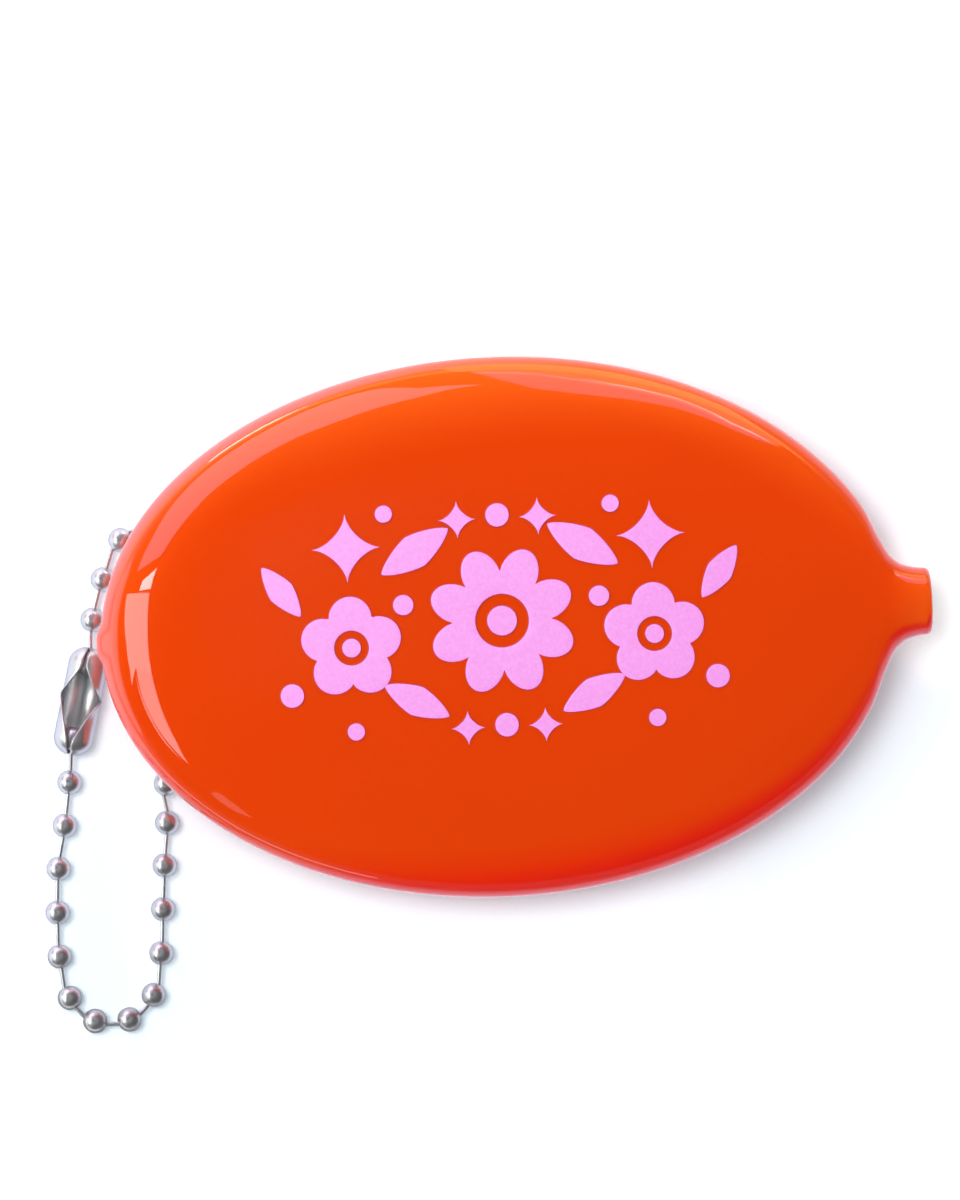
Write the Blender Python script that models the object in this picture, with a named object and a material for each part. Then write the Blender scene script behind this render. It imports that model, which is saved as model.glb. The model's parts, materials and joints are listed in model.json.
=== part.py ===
"""A squeeze coin pouch of dip-moulded vinyl, lying on its back, with its ball chain beside it.

The pouch's front faces up, its neck points along +X, and the slit runs along X in its back.
Lengths are in metres. The origin is at the middle of the whole object's footprint.
"""

import math

import bmesh
import bpy
from mathutils import Matrix, Vector

MM = 0.001

# Vinyl body
oval_length = 102.8 * MM
oval_width = 69.8 * MM
front_rise = 10.4 * MM
back_drop = 9.2 * MM
rest_flattening = 0.6 * MM
wall = 1.8 * MM
front_power = 2.6
back_power = 3.0

# Drip left on the tip by the dipping
drip_height = 0.5 * MM
drip_reach = 2.4 * MM

# Neck, the stem that the mould stood on
neck_length = 4.7 * MM
neck_end_width = 8.7 * MM
neck_end_round = 0.5 * MM
neck_flare = 1.2 * MM
neck_flare_reach = 4.0 * MM
neck_flare_most_share = 1.6
neck_flare_height_share = 0.25
neck_blend_power = 5.0
neck_round_from_share = 0.78

# Slit and its lips
slit_length = 72.0 * MM
slit_gap = 0.7 * MM
lip_depth = 13.0 * MM
lip_border_gap = 0.3 * MM
lip_hinge_height = 0.4 * MM

# Ball chain
bead_diameter = 3.2 * MM
bead_wall = 0.25 * MM
bead_hole_diameter = 0.78 * MM
taut_spacing = 5.7 * MM
link_length = 4.3 * MM
link_rod_diameter = 0.5 * MM
link_head_diameter = 0.92 * MM
link_head_thickness = 0.24 * MM
captive_beads = 5

# Connector of rolled sheet
connector_length = 14.0 * MM
connector_diameter = 4.5 * MM
connector_sheet = 0.3 * MM
connector_end_hole = 1.5 * MM
connector_slot = 0.7 * MM
connector_clearance = 0.15 * MM
connector_window_share = 0.8

# Punched holes that the chain goes through
punched_hole_diameter = 4.6 * MM
first_hole_length_share = -0.753
first_hole_width_share = 0.393
captive_bulge = 6.0 * MM
captive_clearance = 0.3 * MM
lift_share = 0.3

# One overrun serves all cuts
overrun = 2.0 * MM

# The chain's way from the first punched hole: heading in degrees, spacing as a share of taut
to_connector_shares = ((160, 0.87), (-160, 0.94), (-117, 0.98), (-107, 0.95), (-98, 1.0))
along_connector_heading = -104
strand_down_shares = ((-98, 1.0), (-99, 0.99), (-101, 0.99), (-95, 1.0), (-89, 1.0), (-79, 0.97))
turn_shares = ((-45, 0.78), (-1, 0.78))
strand_up_shares = ((43, 0.79), (77, 0.97), (85, 1.0), (85, 1.0), (84, 0.97), (89, 0.89))
to_second_hole_shares = ((58, 0.83),)

# Facets
oval_stations = 28
neck_stations = 4
oval_segments = 40
inner_stations = 22
inner_oval_segments = 32
lens_points = 19
bead_segments = 10
bead_outer_steps = 5
bead_inner_steps = 3
link_segments = 6
connector_segments = 16
shoulder_steps = 4
hole_segments = 20

rim_height = back_drop - rest_flattening
neck_end = oval_length / 2 + neck_length
bead_radius = bead_diameter / 2
pivot_reach = (
    math.sqrt(bead_radius**2 - (bead_hole_diameter / 2) ** 2)
    + math.sqrt((bead_radius - bead_wall) ** 2 - (bead_hole_diameter / 2) ** 2)
) / 2


def clear_scene():
    for obj in list(bpy.data.objects):
        bpy.data.objects.remove(obj, do_unlink=True)


def material(name, colour, roughness, metallic):
    made = bpy.data.materials.new(name)
    made.use_nodes = True
    shader = made.node_tree.nodes["Principled BSDF"]
    shader.inputs["Base Color"].default_value = (*colour, 1.0)
    shader.inputs["Roughness"].default_value = roughness
    shader.inputs["Metallic"].default_value = metallic
    return made


def mesh_from(name, points, faces):
    """A mesh with its faces turned outwards and its round sides shaded smooth."""
    mesh = bpy.data.meshes.new(name)
    mesh.from_pydata([tuple(point) for point in points], [], faces)
    work = bmesh.new()
    work.from_mesh(mesh)
    bmesh.ops.recalc_face_normals(work, faces=work.faces)
    work.to_mesh(mesh)
    work.free()
    mesh.shade_smooth()
    mesh.set_sharp_from_angle(angle=math.radians(35))
    return mesh


def place(name, mesh, parent, look=None, at=None):
    """An object of this mesh, put at a world matrix and carried by its parent."""
    obj = bpy.data.objects.new(name, mesh)
    bpy.context.scene.collection.objects.link(obj)
    if look is not None and not mesh.materials:
        mesh.materials.append(look)
    obj.parent = parent
    obj.matrix_parent_inverse = parent.matrix_world.inverted()
    obj.matrix_basis = Matrix() if at is None else at
    return obj


def axis_empty(name, parent, point, direction):
    """An empty whose X axis lies on a joint's axis."""
    empty = bpy.data.objects.new(name, None)
    bpy.context.scene.collection.objects.link(empty)
    empty.empty_display_size = bead_diameter
    empty.parent = parent
    if parent is not None:
        empty.matrix_parent_inverse = parent.matrix_world.inverted()
    empty.matrix_basis = facing(point, direction)
    bpy.context.view_layer.update()
    return empty


def facing(point, direction):
    """The matrix that puts local X along a direction, with local Y kept level."""
    along = direction.normalized()
    level = Vector((0, 0, 1)).cross(along).normalized()
    turn = Matrix((along, level, along.cross(level))).transposed()
    return Matrix.Translation(point) @ turn.to_4x4()


def boolean(obj, cutter, operation="DIFFERENCE", solver="EXACT"):
    cut = obj.modifiers.new(cutter.name, "BOOLEAN")
    cut.operation = operation
    cut.solver = solver
    cut.object = cutter


def as_cutter(name, mesh, parent):
    cutter = place(name, mesh, parent)
    cutter.hide_render = True
    cutter.display_type = "WIRE"
    return cutter


def smooth_step(share):
    share = min(1, max(0, share))
    return share * share * (3 - 2 * share)


def neck_half(x, inset, flare_share=1):
    """Half the neck's width at a station; it flares into the oval."""
    reach = max(0, min(neck_flare_most_share, (neck_end - x) / neck_flare_reach))
    return neck_end_width / 2 + neck_flare * flare_share * reach**2 - inset


def section(x, inset):
    """Half-width, rise and drop of the skin at a station, with the powers of its two curves."""
    reach = min(1, abs(x) / (oval_length / 2 - inset))
    half = (oval_width / 2 - inset) * math.sqrt(1 - reach**2)
    up = (front_rise - inset) * math.sqrt(1 - reach**front_power)
    down = (back_drop - inset) * math.sqrt(1 - reach**back_power)
    full = oval_length / 2
    start = neck_round_from_share * full
    roundness = smooth_step((x - start) / (full - start))
    if roundness > 0:
        wide = neck_half(x, inset)
        tall = neck_half(x, inset, neck_flare_height_share)
        half, up, down = (
            (size**neck_blend_power + roundness * stem**neck_blend_power) ** (1 / neck_blend_power)
            for size, stem in ((half, wide), (up, tall), (down, tall))
        )
    powers = (power + (2 - power) * roundness for power in (front_power, back_power))
    return half, up, down, *powers


def back_height(x, y, inset):
    """Height over the table of the back's skin, inset inwards, at a point under the pouch."""
    half, _, down, _, power = section(x, inset)
    fall = down * math.sqrt(max(0, 1 - abs(y / half) ** power))
    return rim_height - min(fall, rim_height - inset)


def back_normal(x, y, inset):
    """The unit vector that points into the pouch from its back."""
    step = wall / 2
    slope_x = (back_height(x + step, y, inset) - back_height(x - step, y, inset)) / wall
    slope_y = (back_height(x, y + step, inset) - back_height(x, y - step, inset)) / wall
    return Vector((-slope_x, -slope_y, 1)).normalized()


def ring(x, inset, count, shrink=0.0):
    """The points of one section, level at the rim and cut flat where the pouch lies."""
    half, up, down, front, back = section(x, inset)
    points = []
    for index in range(count):
        angle = 2 * math.pi * index / count
        side = math.cos(angle)
        if math.sin(angle) >= 0:
            height = (up - shrink) * math.sqrt(max(0, 1 - abs(side) ** front))
        else:
            fall = (down - shrink) * math.sqrt(max(0, 1 - abs(side) ** back))
            height = -min(fall, rim_height - inset)
        points.append(Vector((x, (half - shrink) * side, rim_height + height)))
    return points


def with_drip(point):
    """Draws the tip out into the drip."""
    if point.x >= 0:
        return point
    away = (point.y**2 + (point.z - rim_height) ** 2) / drip_reach**2
    return point - Vector((drip_height * math.exp(-away), 0, 0))


def skin_mesh(name, inset, stations, count, end, end_round):
    """A closed skin: a fan at the tip, rings along the oval and neck, and a flat end."""
    tip = oval_length / 2 - inset
    oval = [-tip * math.cos(math.pi * i / stations) for i in range(1, stations)]
    last = oval[-1]
    straight = end - end_round
    neck = [last + (straight - last) * i / neck_stations for i in range(1, neck_stations + 1)]
    rings = [ring(x, inset, count) for x in oval + neck]
    if end_round > 0:
        rings.append(ring(end, inset, count, end_round))
    points = [Vector((-tip, 0, rim_height))]
    for row in rings:
        points.extend(row)
    if inset == 0:
        points = [with_drip(point) for point in points]
    faces = [(0, 1 + (i + 1) % count, 1 + i) for i in range(count)]
    for row in range(len(rings) - 1):
        for i in range(count):
            a = 1 + row * count + i
            b = 1 + row * count + (i + 1) % count
            faces.append((a, b, b + count, a + count))
    first_of_end = 1 + (len(rings) - 1) * count
    faces.append(tuple(first_of_end + i for i in range(count)))
    return mesh_from(name, points, faces)


def prism_mesh(name, outline, low, high):
    """An outline of (x, y) points carried straight up from one height to another."""
    count = len(outline)
    points = [Vector((x, y, low)) for x, y in outline]
    points += [Vector((x, y, high)) for x, y in outline]
    faces = [tuple(range(count)), tuple(range(count, 2 * count))]
    faces += [(i, (i + 1) % count, count + (i + 1) % count, count + i) for i in range(count)]
    return mesh_from(name, points, faces)


def turned_mesh(name, profile, segments, closed):
    """Turns a profile of (along, radius) points about local X; an open one ends on the axis."""
    points, rows = [], []
    for along, radius in profile:
        if radius == 0:
            rows.append([len(points)] * segments)
            points.append(Vector((along, 0, 0)))
            continue
        rows.append([len(points) + i for i in range(segments)])
        for i in range(segments):
            angle = 2 * math.pi * (i + 0.5) / segments
            points.append(Vector((along, radius * math.cos(angle), radius * math.sin(angle))))
    faces = []
    for row in range(len(rows) if closed else len(rows) - 1):
        here, there = rows[row], rows[(row + 1) % len(rows)]
        for i in range(segments):
            j = (i + 1) % segments
            corners = list(dict.fromkeys((here[i], here[j], there[j], there[i])))
            faces.append(tuple(corners))
    return mesh_from(name, points, faces)


def lens_half(x, depth, length):
    """How far the lips' border lies from the slit at a station."""
    return depth * max(0, 1 - (2 * x / length) ** 2)


def lens_outline():
    """The opening that both lips fill, as (x, y) points."""
    stations = [slit_length * (i / lens_points - 0.5) for i in range(lens_points + 1)]
    far = [(x, lens_half(x, lip_depth, slit_length)) for x in stations[1:-1]]
    near = [(x, -y) for x, y in reversed(far)]
    return [(stations[0], 0)] + far + [(stations[-1], 0)] + near


def lip_outline(side):
    """One lip, clear of the slit's middle and of the border."""
    most = lip_depth - lip_border_gap
    shut = slit_gap / 2
    reach = slit_length * math.sqrt(1 - (shut + 2 * lip_border_gap) / most)
    stations = [reach * (i / lens_points - 0.5) for i in range(lens_points + 1)]
    far = [(x, side * (lens_half(x, lip_depth, slit_length) - lip_border_gap)) for x in stations]
    return far + [(stations[-1], side * shut), (stations[0], side * shut)]


def bead_mesh():
    """A hollow bead with a hole at each end of local X."""
    hole = bead_hole_diameter / 2
    inside = bead_radius - bead_wall
    profile = []
    for radius, steps, turn in ((bead_radius, bead_outer_steps, 1), (inside, bead_inner_steps, -1)):
        start = math.asin(hole / radius)
        for i in range(steps + 1):
            angle = start + (math.pi - 2 * start) * i / steps
            profile.append((turn * -radius * math.cos(angle), radius * math.sin(angle)))
    return turned_mesh("bead", profile, bead_segments, True)


def link_mesh():
    """A rod with a lens-shaped head at each end, centred on its middle."""
    end = link_length / 2
    neck = end - link_head_thickness
    rim = end - link_head_thickness / 2
    head = link_head_diameter / 2
    rod = link_rod_diameter / 2
    profile = [(-end, 0), (-rim, head), (-neck, rod), (neck, rod), (rim, head), (end, 0)]
    return turned_mesh("link", profile, link_segments, False)


def connector_mesh():
    """A capsule of sheet with round shoulders and a hole in each end."""
    end = connector_length / 2
    outer = connector_diameter / 2
    hole = connector_end_hole / 2
    inside = outer - connector_sheet
    profile = []
    for radius, reach, way in ((outer, end, 1), (inside, end - connector_sheet, -1)):
        start = math.asin(hole / radius)
        centre = reach - radius * math.cos(start)
        turn = math.pi / 2 - start
        arc = [start + turn * i / shoulder_steps for i in range(shoulder_steps + 1)]
        half = [(centre + radius * math.cos(a), radius * math.sin(a)) for a in arc]
        whole = half + [(-along, away) for along, away in reversed(half)]
        profile += [(way * along, away) for along, away in whole]
    return turned_mesh("connector", profile, connector_segments, True)


def connector_window_mesh():
    """The diamond opening with a slot on to each end, cut from the top to the middle."""
    tip = connector_length * connector_window_share / 2
    end = connector_length / 2 + overrun
    wide = connector_diameter
    slot = connector_slot / 2
    quarter = [(end, slot), (tip - tip * slot / wide, slot), (0, wide)]
    left = [(-x, y) for x, y in reversed(quarter[:-1])]
    upper = quarter + left
    outline = upper + [(x, -y) for x, y in reversed(upper)]
    outline = list(dict.fromkeys(outline))
    return prism_mesh("connector_window", outline, 0, connector_diameter)


def walk(start, steps):
    """Level places reached from a start by headings and shares of the taut spacing."""
    places = [start]
    for heading, share in steps:
        angle = math.radians(heading)
        step = Vector((math.cos(angle), math.sin(angle), 0)) * taut_spacing * share
        places.append(places[-1] + step)
    return places[1:]


def wall_middle(x, y):
    """The middle of the back's wall at a point."""
    return Vector((x, y, back_height(x, y, 0))) + back_normal(x, y, 0) * wall / 2


def chain_places():
    """The beads' centres, in order: first hole, connector, end of the loop, second hole, inside."""
    first = Vector(
        (first_hole_length_share * oval_length / 2, first_hole_width_share * oval_width / 2, 0)
    )
    before = walk(first, to_connector_shares)
    held = connector_length - 2 * (connector_sheet + connector_clearance + bead_radius)
    turned = math.radians(along_connector_heading)
    after = before[-1] + Vector((math.cos(turned), math.sin(turned), 0)) * held
    rest = walk(
        after, strand_down_shares + turn_shares + strand_up_shares + to_second_hole_shares
    )
    outside = [first] + before + [after] + rest
    for spot in outside:
        spot.z = bead_radius
    in_connector = (len(before), len(before) + 1)
    for index in in_connector:
        outside[index].z = connector_diameter / 2
    for hole, next_out in ((0, 1), (-1, -2)):
        outside[hole] = wall_middle(outside[hole].x, outside[hole].y)
        rise = outside[hole].z - bead_radius
        outside[next_out].z = bead_radius + lift_share * rise
    inside = []
    for index in range(1, captive_beads + 1):
        share = index / (captive_beads + 1)
        spot = outside[-1].lerp(outside[0], share)
        spot.x += captive_bulge * math.sin(math.pi * share)
        normal = back_normal(spot.x, spot.y, wall)
        seat = back_height(spot.x, spot.y, wall)
        spot.z = seat + (bead_radius + captive_clearance) / normal.z
        inside.append(spot)
    return outside + inside, in_connector


def bead_turns(places, in_connector):
    """The direction of each bead's bore, from its neighbour before to the one after."""
    turns = []
    for index, here in enumerate(places):
        before = places[index - 1]
        after = places[(index + 1) % len(places)]
        if index in in_connector:
            first, second = (places[i] for i in in_connector)
            turns.append((second - first).normalized())
        else:
            turns.append(((after - here).normalized() + (here - before).normalized()).normalized())
    return turns


def pivot(places, turns, index, side):
    """The middle of one of a bead's holes: side 1 is towards the next bead."""
    return places[index] + turns[index] * pivot_reach * side


def build_pouch(root, vinyl, holes):
    outer = skin_mesh("skin", 0, oval_stations, oval_segments, neck_end, neck_end_round)
    inner_end = neck_end + overrun
    inner = skin_mesh("hollow", wall, inner_stations, inner_oval_segments, inner_end, 0)
    hollow = as_cutter("hollow", inner, root)
    low, high = -overrun, rim_height - overrun
    window = as_cutter("slit_window", prism_mesh("window", lens_outline(), low, high), root)
    shell = place("shell", outer, root, vinyl)
    # The exact solver leaves open edges where the border crosses the skin's thin facets
    boolean(shell, hollow, solver="MANIFOLD")
    boolean(shell, window, solver="MANIFOLD")
    for name, centre in holes:
        length = wall + overrun
        radius = punched_hole_diameter / 2
        profile = [(-length, 0), (-length, radius), (length, radius), (length, 0)]
        punch = as_cutter(name, turned_mesh(name, profile, hole_segments, False), root)
        punch.matrix_basis = facing(centre, back_normal(centre.x, centre.y, 0))
        boolean(shell, punch, solver="MANIFOLD")
    for name, side in (("upper_lip", 1), ("lower_lip", -1)):
        point = Vector((0, side * lip_depth, lip_hinge_height))
        hinge = axis_empty(f"{name}_hinge", root, point, Vector((side, 0, 0)))
        shape = prism_mesh(name, lip_outline(side), low, high)
        keeper = as_cutter(f"{name}_outline", shape, root)
        lip = place(name, outer.copy(), hinge, vinyl)
        boolean(lip, hollow, solver="MANIFOLD")
        boolean(lip, keeper, "INTERSECT", "MANIFOLD")


def build_connector(parent, nickel, ends):
    middle = (ends[0] + ends[1]) / 2
    turn = ends[1] - ends[0]
    swivel = axis_empty("connector_swivel", parent, middle, turn)
    at = facing(middle, turn)
    window = as_cutter("connector_window", connector_window_mesh(), swivel)
    window.matrix_basis = at
    body = place("connector", connector_mesh(), swivel, nickel, at)
    boolean(body, window)


def chain_carriers(root, places, turns, in_connector):
    """An empty on each fold of the hanging loop, and which empty carries each bead and link."""
    count = len(places)
    second_hole = count - captive_beads - 1
    first_row = second_hole - 1
    rows = range(1, len(strand_down_shares) + 1)
    pairs = [(in_connector[1] + row, second_hole - row) for row in rows]
    swing_ends = pivot(places, turns, second_hole, -1), pivot(places, turns, 0, 1)
    carrier = axis_empty("chain_swing", root, swing_ends[0], swing_ends[1] - swing_ends[0])
    bead_of = {index: root for index in range(count)}
    link_of = {index: root for index in range(count)}
    for index in range(1, first_row + 1):
        bead_of[index] = carrier
    for index in range(first_row + 1):
        link_of[index] = carrier
    swing = carrier
    for row, (left, right) in enumerate(pairs, 1):
        near, far = pivot(places, turns, left, 1), pivot(places, turns, right, -1)
        carrier = axis_empty(f"chain_fold_{row}", carrier, near, far - near)
        for index in range(left + 1, right):
            bead_of[index] = carrier
        for index in range(left, right):
            link_of[index] = carrier
    return swing, bead_of, link_of


def build_chain(root, nickel, places, turns, in_connector):
    swing, bead_of, link_of = chain_carriers(root, places, turns, in_connector)
    bead, link = bead_mesh(), link_mesh()
    link_number = 0
    for index, centre in enumerate(places):
        name = f"bead_{index + 1:02d}"
        place(name, bead, bead_of[index], nickel, facing(centre, turns[index]))
        if index == in_connector[0]:
            continue
        link_number += 1
        after = (index + 1) % len(places)
        ends = pivot(places, turns, index, 1), pivot(places, turns, after, -1)
        at = facing((ends[0] + ends[1]) / 2, ends[1] - ends[0])
        place(f"link_{link_number:02d}", link, link_of[index], nickel, at)
    build_connector(swing, nickel, [places[i] for i in in_connector])


def centre_on_footprint(root):
    """Moves the whole object so that the origin is under the middle of its box."""
    bpy.context.view_layer.update()
    corners = [
        obj.matrix_world @ vertex.co
        for obj in bpy.data.objects
        if obj.type == "MESH" and not obj.hide_render
        for vertex in obj.data.vertices
    ]
    middle = [
        (min(c[axis] for c in corners) + max(c[axis] for c in corners)) / 2 for axis in (0, 1)
    ]
    root.location = (-middle[0], -middle[1], -min(c.z for c in corners))
    bpy.context.view_layer.update()


def main():
    clear_scene()
    vinyl = material("orange_vinyl", (0.78, 0.052, 0.003), 0.22, 0.0)
    nickel = material("nickel_plate", (0.62, 0.61, 0.58), 0.18, 1.0)
    root = axis_empty("coin_pouch", None, Vector((0, 0, 0)), Vector((1, 0, 0)))
    places, in_connector = chain_places()
    turns = bead_turns(places, in_connector)
    second_hole = len(places) - captive_beads - 1
    holes = (("first_punched_hole", places[0]), ("second_punched_hole", places[second_hole]))
    build_pouch(root, vinyl, holes)
    build_chain(root, nickel, places, turns, in_connector)
    centre_on_footprint(root)


main()
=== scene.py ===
"""The looks of the squeeze coin pouch: glossy vinyl skin, printed front, ball chain and connector.

Lengths are in metres. The pouch's own frame has its origin under the middle of the oval.
"""

import json
import math
import random

import bmesh
import bpy
import numpy as np
from mathutils import Matrix, Vector


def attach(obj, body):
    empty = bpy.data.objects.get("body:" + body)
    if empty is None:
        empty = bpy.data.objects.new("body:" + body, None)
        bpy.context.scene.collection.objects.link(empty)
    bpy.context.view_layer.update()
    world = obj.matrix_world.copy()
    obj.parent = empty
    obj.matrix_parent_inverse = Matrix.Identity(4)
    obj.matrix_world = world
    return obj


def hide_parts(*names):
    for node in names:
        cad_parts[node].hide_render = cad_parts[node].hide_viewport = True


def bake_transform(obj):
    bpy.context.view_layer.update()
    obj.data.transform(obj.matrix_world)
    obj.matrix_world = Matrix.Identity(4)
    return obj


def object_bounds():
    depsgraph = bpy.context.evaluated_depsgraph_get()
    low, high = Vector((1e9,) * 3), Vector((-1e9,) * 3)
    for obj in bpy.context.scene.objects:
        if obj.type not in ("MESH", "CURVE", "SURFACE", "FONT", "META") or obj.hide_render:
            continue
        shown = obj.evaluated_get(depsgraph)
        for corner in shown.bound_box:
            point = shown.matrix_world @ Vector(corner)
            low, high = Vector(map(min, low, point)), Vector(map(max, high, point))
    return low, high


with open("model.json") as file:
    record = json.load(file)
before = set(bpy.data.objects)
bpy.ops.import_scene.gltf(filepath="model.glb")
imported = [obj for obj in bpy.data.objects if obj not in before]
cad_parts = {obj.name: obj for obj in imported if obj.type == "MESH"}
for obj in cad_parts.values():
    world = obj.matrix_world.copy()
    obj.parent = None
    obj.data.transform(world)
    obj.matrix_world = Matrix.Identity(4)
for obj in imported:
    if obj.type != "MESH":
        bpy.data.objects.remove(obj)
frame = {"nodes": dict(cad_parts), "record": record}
cad_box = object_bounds()

MM = 0.001
pouch_place = Vector((2.169 * MM, 7.6155 * MM, 0))

# Vinyl body, as in the CAD source
oval_length = 102.8 * MM
oval_width = 69.8 * MM
front_rise = 10.28 * MM
back_drop = 9.2 * MM
rest_flattening = 0.6 * MM
wall = 1.8 * MM
front_power = 2.6
back_power = 3.0
drip_height = 0.62 * MM
drip_reach = 2.1 * MM
drip_side = 0.25 * MM
rest_softness = 0.3 * MM
rim_height = back_drop - rest_flattening
tip = oval_length / 2

# Neck
neck_length = 4.7 * MM
neck_end = tip + neck_length
neck_end_round = 0.9 * MM
neck_mouth_round = 0.35 * MM
neck_end_bow = 0.12 * MM
neck_height = 4.35 * MM
neck_side = 0.7 * MM
neck_lean_from = 42 * MM
neck_lean_reach = 12 * MM
neck_blend_power = 4.0
neck_round_from_share = 0.78
# The fillet from the oval to the neck, as (station, half-width) in millimetres
neck_outline = (
    (47.9, 12.66), (49.66, 8.75), (50.9, 6.35), (52.15, 5.1), (53.45, 4.6), (54.8, 4.38), (56.1, 4.35)
)

# Slit: its length and gap, and how far beside it the back is cut into soft strips
slit_half_length = 36.0 * MM
slit_reach = 20.0 * MM
slit_half_gap = 0.08 * MM
slit_taper = 3.0 * MM
slit_strips = 8

# Punched holes: each takes up cells of the skin's grid, which calms down beyond them
punched_hole_radius = 2.3 * MM
punched_hole_beads = ("bead_01", "bead_22")
hole_stations = 3
hole_angles = 5
hole_calm = 1.5

# Print
print_middle = (0.5 * MM, 0.8 * MM)
print_thickness = 0.09 * MM
print_edge = 0.16 * MM
print_edge_share = 0.3
print_sunk = 0.04 * MM
print_segments = 144
print_rings = 7
petal_power = 0.8

# Beads
bead_count = 27
bead_radius = 1.58 * MM
bead_wall = 0.25 * MM
bead_hole_radius = 0.43 * MM
bead_lip = 0.1 * MM
bead_lip_turns = (0.5, 1.0, 1.5)
bead_lip_set_in = 0.1
bead_lip_depth = 0.55
bead_inner_clearance = 0.02 * MM
bead_steps = 26
bead_inner_steps = 12
bead_segments = 48
bead_spin_seed = 4

# Links
link_half_length = 2.15 * MM
link_rod_radius = 0.27 * MM
link_head_radius = 0.5 * MM
link_head_thickness = 0.24 * MM
link_head_turns = (0.35, 0.8, 1.2, math.pi / 2, 2.0, 2.5)
link_head_core = 0.6
link_head_reach = 1.15
link_segments = 20

# Connector
# The two beads that it holds, counted from 0
held_beads = (5, 6)
connector_half_length = 7.0 * MM
connector_radius = 2.25 * MM
connector_sheet = 0.3 * MM
connector_end_hole = 0.75 * MM
connector_end_share = 0.9
connector_end_trim = 0.03
connector_slot_half = 0.35 * MM
connector_spread = 1.16
connector_roll = 11.0
connector_raise = 0.02 * MM
connector_stations = 96
connector_arcs = 64
connector_edge_turns = (math.pi / 4, math.pi / 2, 3 * math.pi / 4)
widest_opening = 0.999
diamond_ends = (-4.9 * MM, 5.95 * MM)
diamond_widest_at = -0.4 * MM
diamond_half_width = 2.4 * MM
diamond_flare = 0.3 * MM
diamond_flare_reach = 0.7 * MM

# Edges sharper than this many degrees stay sharp
chain_crease = 35.0
connector_crease = 50.0

# Facets of the skin
left_stations = 72
middle_stations = 36
neck_stations = 36
dense_from = 40.0 * MM
ring_count = 240
neck_round_steps = 8
normal_step = 1e-4
least_length = 1e-12


def smooth_step(share):
    share = np.clip(share, 0, 1)
    return share * share * (3 - 2 * share)


def put_in_scene(name, data):
    obj = bpy.data.objects.new(name, data)
    bpy.context.scene.collection.objects.link(obj)
    return obj


# Skin
def fillet_half(x):
    """Half-width from the oval's end to the neck's, smooth through the outline's points."""
    at, half = np.array(neck_outline).T * MM
    slope = np.gradient(half, at)
    slope[0] = -((oval_width / 2) ** 2) * at[0] / (tip**2 * half[0])
    slope[-1] = 0
    index = np.clip(np.searchsorted(at, x) - 1, 0, len(at) - 2)
    step = at[index + 1] - at[index]
    t = np.clip((x - at[index]) / step, 0, 1)
    return (
        (1 + 2 * t) * (1 - t) ** 2 * half[index] + t * (1 - t) ** 2 * step * slope[index]
        + t**2 * (3 - 2 * t) * half[index + 1] + t**2 * (t - 1) * step * slope[index + 1]
    )


def neck_shift(x):
    """How far the skin's middle leans to the side on its way to the neck."""
    return neck_side * smooth_step((x - neck_lean_from) / neck_lean_reach)


def section(x):
    """Half-width, rise and drop of the skin at stations, with the powers of its two curves."""
    x = np.asarray(x)
    reach = np.minimum(1, np.abs(x) / tip)
    half = oval_width / 2 * np.sqrt(1 - reach**2)
    half = np.where(x > neck_outline[0][0] * MM, fillet_half(x), half)
    up = front_rise * np.sqrt(1 - reach**front_power)
    down = back_drop * np.sqrt(1 - reach**back_power)
    start = neck_round_from_share * tip
    roundness = smooth_step((x - start) / (tip - start))
    up, down = (
        (size**neck_blend_power + roundness * neck_height**neck_blend_power) ** (1 / neck_blend_power)
        for size in (up, down)
    )
    front = front_power + (2 - front_power) * roundness
    back = back_power + (2 - back_power) * roundness
    return half, up, down, front, back


def softened(height):
    """A height over the table that eases into the flat on which the pouch lies."""
    return (height + np.sqrt(height**2 + rest_softness**2)) / 2


def station(u):
    """Position along the pouch: u = 0 at the tip, 1 at the middle, then straight on."""
    return np.where(u < 1, -tip * np.cos(math.pi / 2 * np.minimum(u, 1)), tip * math.pi / 2 * (u - 1))


def station_of(x):
    """The share u of a position along the pouch."""
    left = 2 / math.pi * np.arccos(np.clip(-np.asarray(x) / tip, -1, 1))
    return np.where(x < 0, left, 1 + x / (tip * math.pi / 2))


def skin(u, angle):
    """Points of the outer skin in the pouch's frame."""
    x = station(u)
    half, up, down, front, back = section(x)
    side = np.cos(angle)
    rise = up * np.sqrt(np.maximum(0, 1 - np.abs(side) ** front))
    fall = down * np.sqrt(np.maximum(0, 1 - np.abs(side) ** back))
    low = softened(rim_height - fall) - softened(rim_height) + rim_height
    z = np.where(np.sin(angle) >= 0, rim_height + rise, low)
    y = half * side + neck_shift(x)
    away = ((y - drip_side) ** 2 + (z - rim_height) ** 2) / drip_reach**2
    drawn = x - np.where(x < 0, drip_height * np.exp(-(away**2)), 0)
    return np.stack([drawn, y, z], axis=-1)


def skin_normal(u, angle):
    along = skin(u + normal_step, angle) - skin(u - normal_step, angle)
    around_it = skin(u, angle + normal_step) - skin(u, angle - normal_step)
    normal = np.cross(around_it, along)
    return normal / np.linalg.norm(normal, axis=-1, keepdims=True)


def front_point(x, y, lift):
    """A point over the front at (x, y), raised off the skin along its normal."""
    u = station_of(x)
    angle = np.arccos(np.clip((y - neck_shift(x)) / section(x)[0], -1, 1))
    return skin(u, angle) + skin_normal(u, angle) * lift


def back_turn(x, y):
    """The angle round the skin of a place on the back."""
    return 2 * math.pi - math.acos(max(-1, min(1, y / float(section(x)[0]))))


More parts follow.
